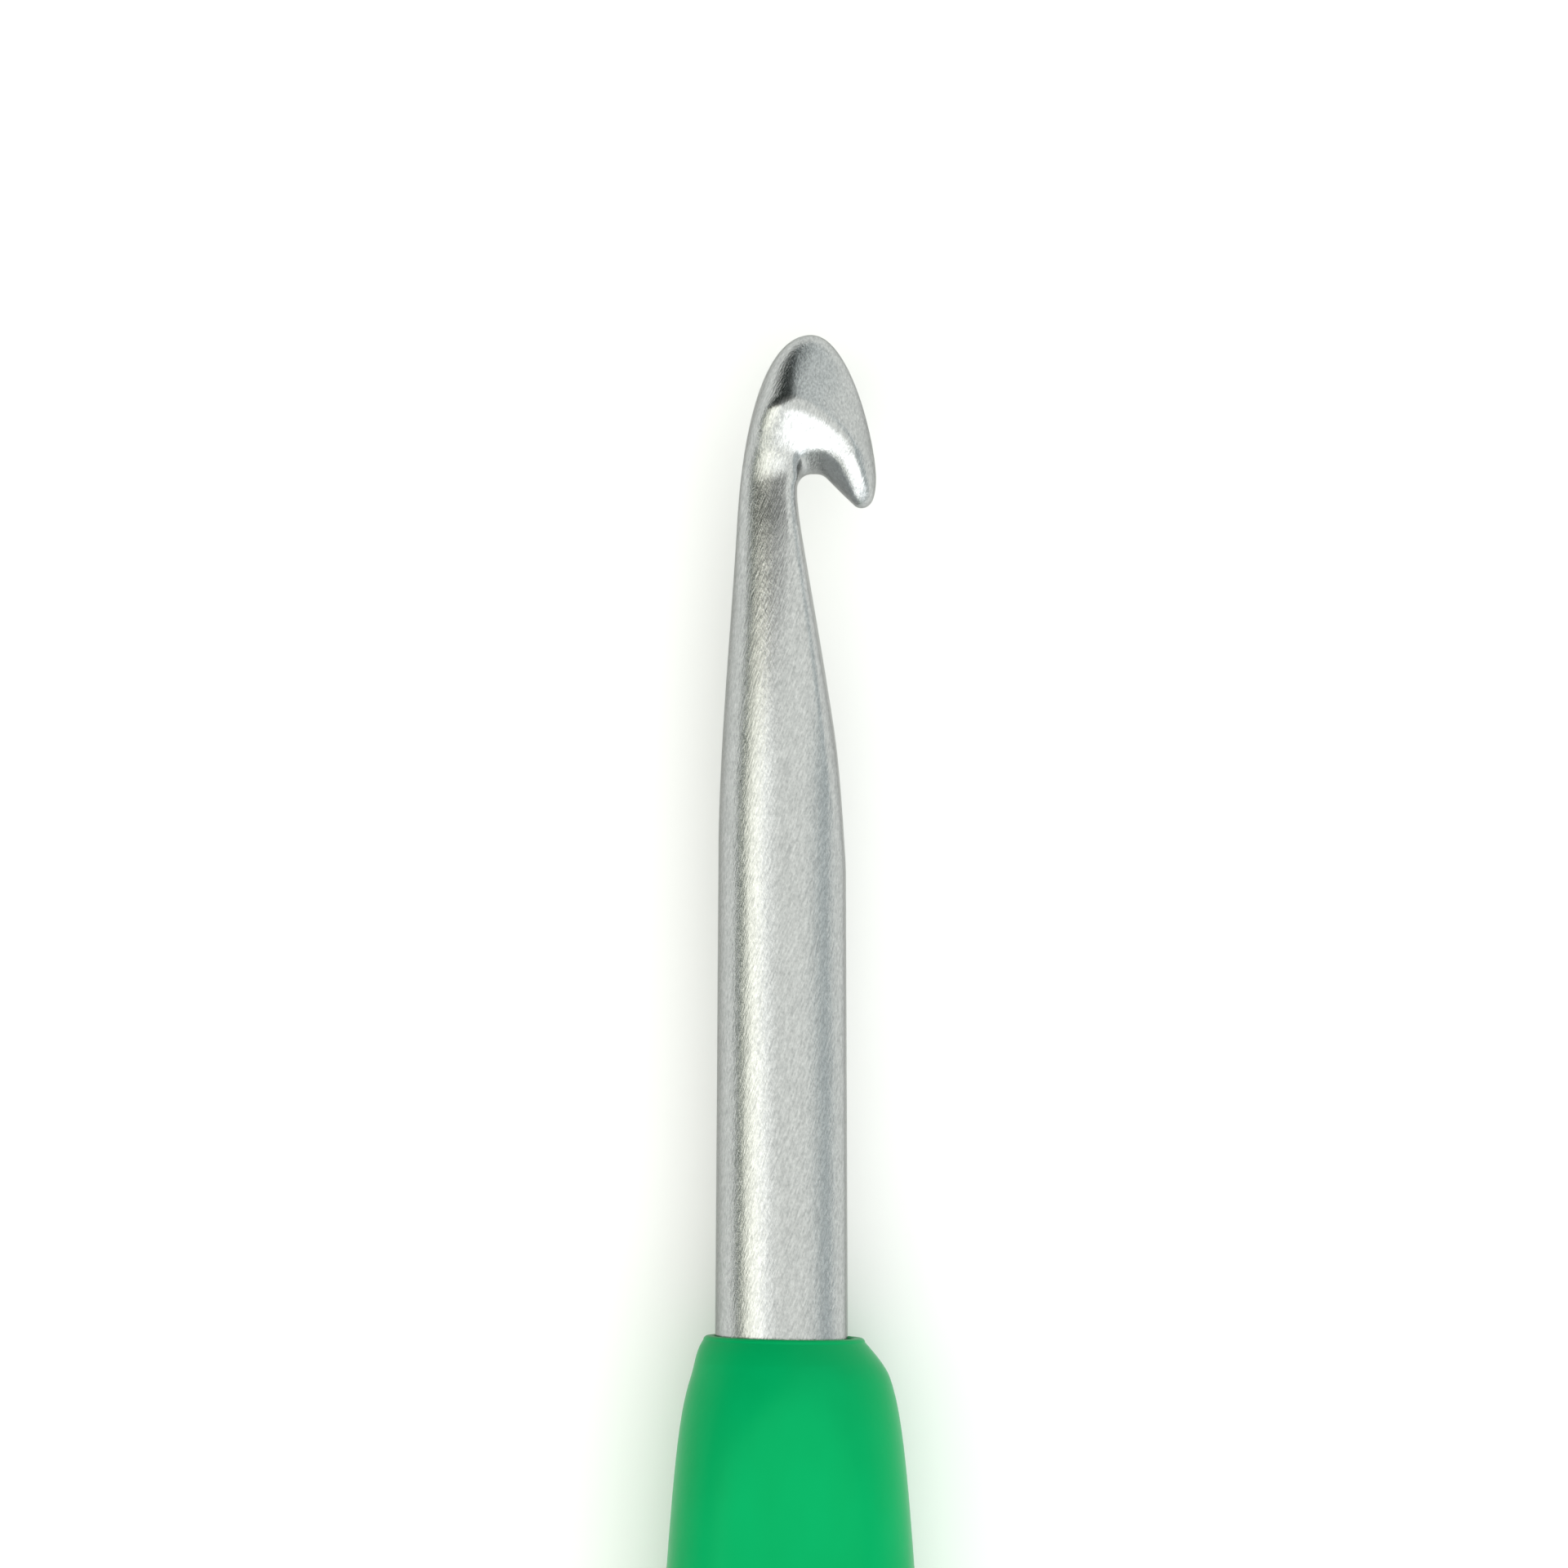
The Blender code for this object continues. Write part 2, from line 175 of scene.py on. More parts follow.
# Framing: the whole picture is this wide, and its middle is this far behind the tip.
PICTURE_WIDTH = 64.19
PICTURE_STATION = 18.38
CAMERA_HEIGHT = 520.0
CAMERA_NEAR = 10.0
SENSOR = 36.0

# The softboxes: each one's place and size in metres, its radiance and its colour.
SOFTBOXES = {
    "key_side": ((-0.04, 0.546, 0.331), (0.54, 0.39), 1.45, (1.02, 1.0, 0.86)),
    "key_top": ((0.0, 0.358, 0.533), (0.30, 0.18), 0.80, (1.0, 1.0, 1.0)),
    "key_handle": ((-0.50, -0.12, 0.42), (0.90, 0.58), 1.80, (1.0, 1.0, 1.0)),
}
SOFTBOX_AIM = 30.0

# The sky's colours, and the directions where it differs. +X is towards the tip and +Y the back.
SKY_OVERHEAD = (1.35, 1.37, 1.30)
SKY_BEFORE_MOUTH = (0.72, 0.80, 0.80)
SKY_BEHIND_BACK = (0.040, 0.084, 0.062)
SKY_TIP_SIDE = (1.02, 1.07, 1.04)
SKY_BUTT_SIDE = (1.15, 1.18, 1.08)
TIP_SIDE = (0.72, -0.69, 0.0)
BUTT_SIDE = (-0.85, 0.52, 0.0)
CARD_SIDE = (0.71, 0.58, 0.40)
CARD_SHADE = 0.22

# The floor.
FLOOR_REACH = 3.0
FLOOR_DROP = 0.02


def cubic_table(curves):
    """Cubic curves joined end to end, as a function from station to offset."""
    t = np.linspace(0.0, 1.0, CURVE_SAMPLES)[:, None]
    parts = []
    for points in curves:
        p0, p1, p2, p3 = (np.array(point) for point in points)
        near, far = 1 - t, t
        parts.append(near ** 3 * p0 + 3 * near ** 2 * far * p1 + 3 * near * far ** 2 * p2 + far ** 3 * p3)
    line = np.concatenate(parts)
    return lambda station: np.interp(station, line[:, 0], line[:, 1])


def ease(low, high, share):
    """A smooth step from low to high as share goes from 0 to 1."""
    share = np.clip(share, 0.0, 1.0)
    return low + (high - low) * share * share * (3.0 - 2.0 * share)


def cosine_ease(low, high, share):
    """A cosine step from low to high as share goes from 0 to 1."""
    return low + (high - low) * (0.5 - 0.5 * np.cos(np.pi * np.clip(share, 0.0, 1.0)))


back_outline = cubic_table((BACK_CURVE, SPINE_CURVE))
front_outline = cubic_table((FRONT_CURVE, NOSE_CURVE, BELLY_CURVE))
throat_outline = cubic_table((THROAT_CURVE,))


def head_half_height(station):
    """The half thickness of the nose, the crest and the neck."""
    nose = np.sqrt((NOSE_SLOPE * station) ** 2 + 2.0 * NOSE_RADIUS * station)
    falling = CREST_HALF_THICKNESS - NECK_FALL * (station - CREST_STATION)
    along = np.clip((station - THROAT_MIDDLE) / (NECK_END - THROAT_MIDDLE), 0.0, 1.0)
    rising = THROAT_HALF_THICKNESS + (SHAFT_RADIUS[0] - THROAT_HALF_THICKNESS) * np.sin(np.pi / 2.0 * along)
    blend = np.maximum(VALLEY_ROUNDING - np.abs(falling - rising), 0.0)
    neck = np.maximum(falling, rising) + blend ** 2 / (4.0 * VALLEY_ROUNDING)
    blend = np.maximum(CREST_ROUNDING - np.abs(nose - neck), 0.0)
    return np.minimum(nose, neck) - blend ** 2 / (4.0 * CREST_ROUNDING)


def rod_section(station):
    """Centre, half width, half height and squareness of the uncut rod at some stations."""
    share = (station - TAPER_END) / (COLLAR_STATION - TAPER_END)
    radius = SHAFT_RADIUS[0] + (SHAFT_RADIUS[1] - SHAFT_RADIUS[0]) * np.clip(share, 0.0, 1.0)
    back = np.where(station < TAPER_END, back_outline(station), -radius)
    front = np.where(station < TAPER_END, front_outline(station), radius)
    height = np.where(station < TAPER_END, head_half_height(station), radius)
    tang = ease(0.0, 1.0, (station - ROUND_END) / (TANG_START - ROUND_END))
    tang_width = TANG_HALF_SIZE[0] * np.ones_like(station)
    for notch in TANG_NOTCHES:
        into = TANG_NOTCH_HALF_LENGTH - np.abs(station - notch)
        tang_width = tang_width - TANG_NOTCH_DEPTH * ease(0.0, 1.0, into / TANG_NOTCH_RAMP + 0.5)
    half_width = (front - back) / 2.0 * (1.0 - tang) + tang_width * tang
    half_height = height * (1.0 - tang) + TANG_HALF_SIZE[1] * tang
    return (front + back) / 2.0, half_width, half_height, 2.0 + (TANG_SQUARENESS - 2.0) * tang


STATION_TABLE = np.concatenate([np.linspace(*HEAD_TABLE)[1:], np.linspace(*SHAFT_TABLE)[1:]])
SECTION_TABLE = np.array(rod_section(STATION_TABLE))
AREA_TABLE = SECTION_TABLE[1] * SECTION_TABLE[2]
AREA_SLOPE = np.gradient(AREA_TABLE, STATION_TABLE)
TIP_START = STATION_TABLE[TIP_ROW]


def body_field(station, offset, height):
    """About the distance to the uncut rod's surface, negative inside."""
    inside = np.maximum(station, TIP_START)
    centre, half_width, _, squareness = (
        np.interp(inside, STATION_TABLE, column) for column in SECTION_TABLE)
    aside = np.abs(offset - LEAN_MIDDLE)
    lean = np.where(offset < LEAN_MIDDLE, *CREST_LEANS) * aside ** 2 / (aside + LEAN_BEND)
    lean = lean * ease(0.0, 1.0, station / CREST_STATION)
    lean = lean * ease(1.0, 0.0, (station - THROAT_MIDDLE) / LEAN_FADE)
    half_height = np.interp(np.maximum(inside - lean, TIP_START), STATION_TABLE, SECTION_TABLE[2])
    fade = (station - BACK_FADE[0]) / (BACK_FADE[1] - BACK_FADE[0])
    squareness = squareness + np.where(offset < centre, ease(BACK_SQUARENESS, 0.0, fade), 0.0)
    area = half_width * half_height * np.minimum(station / TIP_START, 1.0)
    slope = np.interp(inside, STATION_TABLE, AREA_SLOPE)
    across = np.abs((offset - centre) / half_width)
    up = np.abs(height / half_height)
    ring = (across ** squareness + up ** squareness) ** (2.0 / squareness)
    value = half_width * half_height * ring - area
    gradient = np.sqrt((2.0 * half_height * across) ** 2 + (2.0 * half_width * up) ** 2 + slope ** 2 + 1e-6)
    return value / gradient


def round_max(a, b, radius):
    """The intersection of two fields, with a rounded edge."""
    corner = np.hypot(np.maximum(a + radius, 0.0), np.maximum(b + radius, 0.0))
    return np.minimum(np.maximum(a, b), -radius) + corner


def mouth_edge(station, offset):
    """Distance in plan from the mouth's outline at mid height, and how much it faces the roof."""
    bend = MOUTH_CORNER * (math.sqrt(2.0) - 1.0)
    top = ROOF_TOP + MOUTH_CORNER
    inner = float(throat_outline(THROAT_CURVE[0][0])) + MOUTH_CORNER
    outer = LIP_BEND_OFFSET - bend
    across = offset - throat_outline(station) + inner - MOUTH_CORNER
    nearest_on_throat = (np.maximum(station, top), np.full_like(station, inner))
    nearest_on_roof = (np.full_like(station, top), np.clip(across, inner, outer))
    along_lip = np.maximum((station - top + across - outer) / 2.0, 0.0)
    nearest_on_lip = (top + along_lip, outer + along_lip)
    best = np.full_like(station, 1e9)
    facing = np.zeros_like(station)
    for near_station, near_across in (nearest_on_throat, nearest_on_roof, nearest_on_lip):
        distance = np.hypot(station - near_station, across - near_across)
        closer = distance < best
        best = np.where(closer, distance, best)
        facing = np.where(closer, (across - near_across) / np.maximum(distance, 1e-6), facing)
    inside = (station > top) & (across > inner) & (across - outer < station - top)
    return np.where(inside, -best, best) - MOUTH_CORNER, 1.0 + facing


def mouth_field(station, offset, height):
    """About the distance to the space cut away below the lip, negative in that space."""
    edge, facing = mouth_edge(station, offset)
    facing_roof = ease(0.0, 1.0, (facing - FLARE_TURN[0]) / (FLARE_TURN[1] - FLARE_TURN[0]))
    level = np.hypot(height, WALL_ROUNDING)
    above = np.maximum(np.abs(height) - FLARE_START, 0.0)
    flare = above ** 2 / (above + FLARE_BEND)
    flare_steepness = (above ** 2 + 2.0 * above * FLARE_BEND) / (above + FLARE_BEND) ** 2
    wall_slope = WALL_SLOPES[0] + (WALL_SLOPES[1] - WALL_SLOPES[0]) * facing_roof
    flare_slope = FLARE_SLOPES[0] + (FLARE_SLOPES[1] - FLARE_SLOPES[0]) * facing_roof
    steepness = wall_slope * height / level + flare_slope * flare_steepness
    value = edge - wall_slope * (level - WALL_ROUNDING) - flare_slope * flare
    return value / np.sqrt(EDGE_SLOPE_SQUARED + steepness ** 2), facing


def hook_field(station, offset, height):
    """About the distance to the finished rod's surface, negative inside."""
    mouth, facing = mouth_field(station, offset, height)
    crest_rounding = ease(CREST_ROUNDINGS[0], CREST_ROUNDINGS[1], facing)
    share = (np.abs(height) - ROUNDING_CHANGE_START) / ROUNDING_CHANGE_LENGTH
    rounding = ease(LIP_ROUNDING, crest_rounding, share)
    cut = round_max(body_field(station, offset, height), -mouth, rounding)
    return round_max(cut, station - TANG_END, TANG_END_ROUNDING)


def field_gradient(field, points, step=0.002):
    """The field's slope at points, by differences."""
    slopes = []
    for axis in range(3):
        ahead = points.copy()
        behind = points.copy()
        ahead[:, axis] += step
        behind[:, axis] -= step
        slopes.append((field(*ahead.T) - field(*behind.T)) / (2.0 * step))
    return np.stack(slopes, axis=1)


def shifted(axis, low, high):
    """Two slices of a grid, one step apart along an axis; low and high are for the other axes."""
    here = [slice(low, high)] * 3
    there = [slice(low, high)] * 3
    here[axis] = slice(0, -1)
    there[axis] = slice(1, None)
    return tuple(here), tuple(there)


def cell_points(values, inside, grid):
    """The mean of each cell's edge crossings, and each crossed cell's number."""
    cells = tuple(size - 1 for size in values.shape)
    total = np.zeros(cells + (3,))
    count = np.zeros(cells)
    for axis in range(3):
        here, there = shifted(axis, None, None)
        crossed = inside[here] != inside[there]
        drop = np.where(crossed, values[here] - values[there], 1.0)
        share = np.where(crossed, values[here] / drop, 0.0)
        crossing = grid[here] + share[..., None] * (grid[there] - grid[here])
        others = [other for other in range(3) if other != axis]
        for first in (0, 1):
            for second in (0, 1):
                part = [slice(None)] * 3
                part[others[0]] = slice(first, first + cells[others[0]])
                part[others[1]] = slice(second, second + cells[others[1]])
                part = tuple(part)
                total += crossing[part] * crossed[part][..., None]
                count += crossed[part]
    used = count > 0
    number = np.full(cells, -1)
    number[used] = np.arange(int(used.sum()))
    return total[used] / count[used][:, None], number


def cell_quads(inside, number):
    """A quad round each crossed grid edge, facing out of the solid."""
    quads = []
    for axis in range(3):
        first, second = [other for other in range(3) if other != axis]
        here, there = (inside[part] for part in shifted(axis, 1, -1))
        cell = np.argwhere(here != there)
        leaving = here[here != there]
        cell[:, first] += 1
        cell[:, second] += 1
        corners = []
        for back_first, back_second in ((1, 1), (0, 1), (0, 0), (1, 0)):
            place = cell.copy()
            place[:, first] -= back_first
            place[:, second] -= back_second
            corners.append(number[place[:, 0], place[:, 1], place[:, 2]])
        ring = np.stack(corners, axis=1)
        outward = leaving if axis != 1 else ~leaving
        ring[~outward] = ring[~outward][:, ::-1]
        quads.append(ring)
    return np.concatenate(quads)


def surface_net(field, xs, ys, zs):
    """Points and quads of the surface where the field is zero, one point in each crossed cell."""
    grid = np.stack(np.meshgrid(xs, ys, zs, indexing="ij"), axis=-1)
    values = field(grid[..., 0], grid[..., 1], grid[..., 2])
    inside = values < 0.0
    points, number = cell_points(values, inside, grid)
    return points, cell_quads(inside, number)


def settle(field, points, limit=0.08, rounds=4):
    """Move points onto the field's surface."""
    for _ in range(rounds):
        slope = field_gradient(field, points)
        size = np.maximum((slope ** 2).sum(axis=1), 1e-6)
        move = -(field(*points.T) / size)[:, None] * slope
        length = np.linalg.norm(move, axis=1, keepdims=True)
        points = points + move * np.minimum(1.0, limit / np.maximum(length, 1e-9))
    return points


def graded_stations(fine):
    """Grid stations along the rod: close together at the head, and wider on the shaft and tang."""
    stations = [-4.0 * fine]
    step = fine
    while stations[-1] < TANG_END + GRID_MARGIN:
        if stations[-1] > GRID_FINE_END:
            widest = GRID_COARSE_STEP if stations[-1] < ROUND_END else 2.0 * GRID_COARSE_STEP
            step = min(step * GRID_GROWTH, widest)
        stations.append(stations[-1] + step)
    return np.array(stations)


def make_mesh_object(name, points, faces):
    """A smooth-shaded object of the given points, in metres in the object's frame."""
    mesh = bpy.data.meshes.new(name)
    mesh.from_pydata([tuple(point) for point in points], [], [tuple(face) for face in faces])
    mesh.validate()
    mesh.shade_smooth()
    made = bpy.data.objects.new(name, mesh)
    bpy.context.scene.collection.objects.link(made)
    return made


def rod_axis():
    """Tip station's x, and the shaft axis's y and z, from the CAD rod's box."""
    low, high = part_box("hook_rod")
    radius = SHAFT_RADIUS[1] * MM
    return Vector((high.x, high.y - radius, (low.z + high.z) / 2.0))


AXIS = rod_axis()


def to_frame(points):
    """Hook coordinates in millimetres to the object's frame in metres."""
    station, offset, height = np.asarray(points).T
    return np.stack([AXIS.x - station * MM, AXIS.y - offset * MM, AXIS.z + height * MM], axis=1)


def make_hook():
    """The forged rod with its flared mouth, as one smooth closed surface."""
    fine = GRID_STEP
    stations = graded_stations(fine)
    offsets = np.arange(*GRID_OFFSETS, fine)
    heights = np.arange(*GRID_HEIGHTS, fine)
    points, quads = surface_net(hook_field, stations, offsets, heights)
    points = settle(hook_field, points)
    return make_mesh_object("hook_rod_forged", to_frame(points), quads)


def handle_half_width(along):
    """The handle's half width behind the collar, without the butt's end."""
    shoulder = RIM_RADIUS + SHOULDER_RISE * (1.0 - np.exp(-along / SHOULDER_LENGTH))
    thumb = shoulder + THUMB_SWELL * np.sin(np.pi / 2.0 * np.clip(along / THUMB_STATION, 0.0, 1.0))
    full = RIM_RADIUS + SHOULDER_RISE + THUMB_SWELL
    waist = cosine_ease(full, WAIST_HALF_WIDTH, (along - THUMB_STATION) / (WAIST_STATION - THUMB_STATION))
    palm = cosine_ease(WAIST_HALF_WIDTH, PALM_HALF_WIDTH,
                       (along - WAIST_STATION) / (PALM_STATION - WAIST_STATION))
    return np.where(along <= THUMB_STATION, thumb, np.where(along <= WAIST_STATION, waist, palm))


def handle_half_height(along, flat):
    """The handle's half height before its flats are pressed in."""
    collar = RIM_RADIUS + SHOULDER_RISE * (1.0 - np.exp(-along / SHOULDER_LENGTH))
    rise = flat * CROWN - RIM_RADIUS - SHOULDER_RISE
    return collar + rise * np.sin(np.pi / 2.0 * np.clip(along / CROWN_LENGTH, 0.0, 1.0))


def soft_limit(value, limit, rounding):
    """Hold a value within plus or minus the limit, easing into it over the rounding."""
    size = np.abs(value)
    near = np.maximum(rounding - np.abs(size - limit), 0.0) / rounding
    return np.sign(value) * (np.minimum(size, limit) - near * near * rounding / 4.0)


def signed_power(value, power):
    """A power that keeps the value's sign."""
    return np.sign(value) * np.abs(value) ** power


def grip_ring(station, flat, handle_offset):
    """One outer ring of the grip, as (station, offset, height) points round the handle."""
    along = station - COLLAR_STATION
    into_butt = max((station - (LENGTH - BUTT_ROUNDING)) / BUTT_ROUNDING, 0.0)
    closing = (1.0 - into_butt ** BUTT_POWER) ** (1.0 / BUTT_POWER)
    power = 2.0 / cosine_ease(2.0, HANDLE_SQUARENESS, along / CROWN_LENGTH)
    angle = 2.0 * np.pi * np.arange(GRIP_POINTS) / GRIP_POINTS
    side = handle_half_width(along) * closing * signed_power(np.cos(angle), power)
    up = handle_half_height(along, flat) * closing * signed_power(np.sin(angle), power)
    centre = handle_offset * cosine_ease(0.0, 1.0, along / OFFSET_BLEND)
    pressed = soft_limit(up, flat, FLAT_ROUNDING)
    return np.stack([np.full(GRIP_POINTS, station), centre + side, pressed], axis=1)


def plain_ring(station, centre, half_width, half_height, squareness=2.0):
    """One elliptical ring, as (station, offset, height) points."""
    angle = 2.0 * np.pi * np.arange(GRIP_POINTS) / GRIP_POINTS
    power = 2.0 / squareness
    return np.stack([np.full(GRIP_POINTS, station),
                     centre + half_width * signed_power(np.cos(angle), power),
                     half_height * signed_power(np.sin(angle), power)], axis=1)


def grip_stations():
    """Stations of the outer rings, from the rim back to just before the butt's end."""
    growing = np.linspace(0.0, 1.0, SHOULDER_RINGS) ** SHOULDER_SPACING
    shoulder = COLLAR_STATION + RIM_ROUNDING + SHOULDER_REACH * growing
    middle = np.linspace(shoulder[-1], LENGTH - BUTT_ROUNDING, MIDDLE_RINGS)[1:]
    turn = np.pi / 2.0 * np.linspace(0.0, 1.0, BUTT_RINGS)[1:-1]
    butt = LENGTH - BUTT_ROUNDING * (1.0 - np.sin(turn))
    return np.concatenate([shoulder, middle, butt])


def rim_rings(outer):
    """The rounded rim that turns in from the foremost outer ring."""
    rings = []
    for step in range(1, RIM_STEPS + 1):
        turn = math.pi / 2.0 * step / RIM_STEPS
        ring = outer.copy()
        ring[:, 0] = COLLAR_STATION + RIM_ROUNDING * (1.0 - math.sin(turn))
        ring[:, 1:] *= 1.0 - (1.0 - math.cos(turn)) * RIM_ROUNDING / RIM_RADIUS
        rings.append(ring)
    return rings


def bore_rings():
    """The round bore that the rod goes into, with a small chamfer at its mouth."""
    bore = float(rod_section(np.array([COLLAR_STATION]))[1][0]) + ROD_CLEARANCE
    wide = bore + BORE_CHAMFER
    return [plain_ring(COLLAR_STATION + BORE_CHAMFER_DEPTHS[0], 0.0, wide, wide),
            plain_ring(COLLAR_STATION + BORE_CHAMFER_DEPTHS[1], 0.0, bore, bore),
            plain_ring(POCKET_STATIONS[0] - BORE_END, 0.0, bore, bore)]


def pocket_rings(handle_offset):
    """The pocket round the core, which narrows towards the butt."""
    low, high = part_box("handle_core")
    half_height = (high.z - low.z) / 2.0 / MM + POCKET_CLEARANCES[1]
    rings = []
    for share in np.linspace(0.0, 1.0, POCKET_RINGS):
        station = POCKET_STATIONS[0] + (POCKET_STATIONS[1] - POCKET_STATIONS[0]) * share
        width = float(handle_half_width(station - COLLAR_STATION)) - POCKET_WALL
        to_end = (POCKET_STATIONS[1] - station) / POCKET_TAIL_LENGTH
        tail = cosine_ease(POCKET_TAIL_SHARE, 1.0, to_end)
        half_width = width * tail + POCKET_CLEARANCES[0]
        rings.append(plain_ring(station, handle_offset, half_width, half_height * tail, HANDLE_SQUARENESS))
    return rings


def closed_tube(rings, first_end, last_end):
    """Points and faces of a skin through rings, closed at each end by a fan round one point."""
    points = np.concatenate([*rings, [first_end, last_end]])
    first_point = len(points) - 2
    last_point = len(points) - 1
    last_ring = (len(rings) - 1) * GRIP_POINTS
    faces = []
    for ring in range(len(rings) - 1):
        for index in range(GRIP_POINTS):
            following = (index + 1) % GRIP_POINTS
            here, there = ring * GRIP_POINTS, (ring + 1) * GRIP_POINTS
            faces.append((here + following, here + index, there + index, there + following))
    for index in range(GRIP_POINTS):
        following = (index + 1) % GRIP_POINTS
        faces.append((first_point, index, following))
        faces.append((last_point, last_ring + following, last_ring + index))
    return points, faces


def make_grip():
    """The moulded soft sleeve: its skin, its rounded rim on the rod, and the pocket for the core."""
    low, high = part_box("soft_grip")
    flat = (high.z - low.z) / 2.0 / MM
    handle_offset = (AXIS.y - (low.y + high.y) / 2.0) / MM
    outer = [grip_ring(station, flat, handle_offset) for station in grip_stations()[::-1]]
    rings = outer + rim_rings(outer[-1]) + bore_rings() + pocket_rings(handle_offset)
    butt_end = [LENGTH, handle_offset, 0.0]
    pocket_end = [POCKET_STATIONS[1] + POCKET_CROWN, handle_offset, 0.0]
    points, faces = closed_tube(rings, butt_end, pocket_end)
    fade = np.exp(-np.maximum(points[:, 0] - COLLAR_STATION, 0.0) / RIM_TILT_LENGTH)
    points[:, 0] += RIM_TILT * points[:, 1] * fade
    return make_mesh_object("soft_grip_skin", to_frame(points), faces)


def new_material(name):
    """A material with a Principled shader, with the pieces needed to build it up."""
    material = bpy.data.materials.new(name)
    material.use_nodes = True
    tree = material.node_tree
    return material, tree, tree.nodes["Principled BSDF"]


def add_node(tree, kind, **settings):
    """A shader node with some of its properties and inputs set."""
    node = tree.nodes.new(kind)
    for key, value in settings.items():
        if key in node.inputs:
            node.inputs[key].default_value = value
        else:
            setattr(node, key, value)
    return node


def noise(tree, coordinates, sizes, turn=0.0, detail=3.0, roughness=0.6):
    """Noise with features of the given sizes in millimetres, turned in the XY plane."""
    mapping = add_node(tree, "ShaderNodeMapping", vector_type="TEXTURE")
    mapping.inputs["Rotation"].default_value = (0.0, 0.0, turn)
    mapping.inputs["Scale"].default_value = [size * MM for size in sizes]
    texture = add_node(tree, "ShaderNodeTexNoise", Scale=1.0, Detail=detail, Roughness=roughness)
    tree.links.new(coordinates, mapping.inputs["Vector"])
    tree.links.new(mapping.outputs["Vector"], texture.inputs["Vector"])
    return texture.outputs["Fac"]


def ramp(tree, value, low, high, low_value, high_value):
    """Map a value's range to another range, held at its ends."""
    node = add_node(tree, "ShaderNodeMapRange")
    ends = {"From Min": low, "From Max": high, "To Min": low_value, "To Max": high_value}
    for key, number in ends.items():
        node.inputs[key].default_value = number
    tree.links.new(value, node.inputs["Value"])
    return node.outputs["Result"]


def smooth_ramp(tree, value, low, high):
    """A smooth step from 0 to 1 over a value's range."""
    node = add_node(tree, "ShaderNodeMapRange", interpolation_type="SMOOTHSTEP")
    node.inputs["From Min"].default_value = low
    node.inputs["From Max"].default_value = high
    tree.links.new(value, node.inputs["Value"])
    return node.outputs["Result"]


def mix_colours(tree, share, first, second):
    """A colour between two others, which are colours or sockets."""
    node = add_node(tree, "ShaderNodeMix", data_type="RGBA")
    tree.links.new(share, node.inputs[0])
    for socket, colour in ((node.inputs[6], first), (node.inputs[7], second)):
        if isinstance(colour, tuple):
            socket.default_value = (*colour, 1.0)
        else:
            tree.links.new(colour, socket)
    return node.outputs[2]


def bump(tree, height, distance, strength, under=None):
    """A bump of a height field that is this many millimetres deep, over another bump if given."""
    node = add_node(tree, "ShaderNodeBump", Distance=distance * MM, Strength=strength)
    tree.links.new(height, node.inputs["Height"])
    if under is not None:
        tree.links.new(under, node.inputs["Normal"])
    return node.outputs["Normal"]


def aluminium_material():
    """Tumbled aluminium: a fine bright grain crossed by short slanted scratches."""
    material, tree, shader = new_material("aluminium_tumbled")
    where = add_node(tree, "ShaderNodeTexCoord").outputs["Object"]
    scratches = noise(tree, where, (0.60, 0.075, 0.12), math.radians(-20.0), 3.0, 0.65)
    crossing = noise(tree, where, (0.50, 0.070, 0.12), math.radians(28.0), 3.0, 0.6)
    grain = noise(tree, where, (0.15, 0.10, 0.10), 0.0, 3.0, 0.7)
    waves = noise(tree, where, (1.6, 0.7, 0.7), 0.0, 2.0, 0.5)
    normal = bump(tree, waves, 0.03, 0.40)
    normal = bump(tree, grain, 0.03, 0.10, normal)
    normal = bump(tree, scratches, 0.03, 0.46, normal)
    normal = bump(tree, crossing, 0.03, 0.20, normal)
    tree.links.new(normal, shader.inputs["Normal"])
    tree.links.new(ramp(tree, waves, 0.3, 0.7, 0.15, 0.22), shader.inputs["Roughness"])
    speckle = add_node(tree, "ShaderNodeMath", operation="ADD")
    tree.links.new(grain, speckle.inputs[0])
    tree.links.new(scratches, speckle.inputs[1])
    colour = mix_colours(tree, ramp(tree, speckle.outputs[0], 0.75, 1.25, 0.0, 1.0),
                         (0.32, 0.33, 0.333), (0.52, 0.53, 0.533))
    tree.links.new(colour, shader.inputs["Base Color"])
    shader.inputs["Metallic"].default_value = 1.0
    shader.inputs["Specular Tint"].default_value = (0.56, 0.56, 0.55, 1.0)
    return material


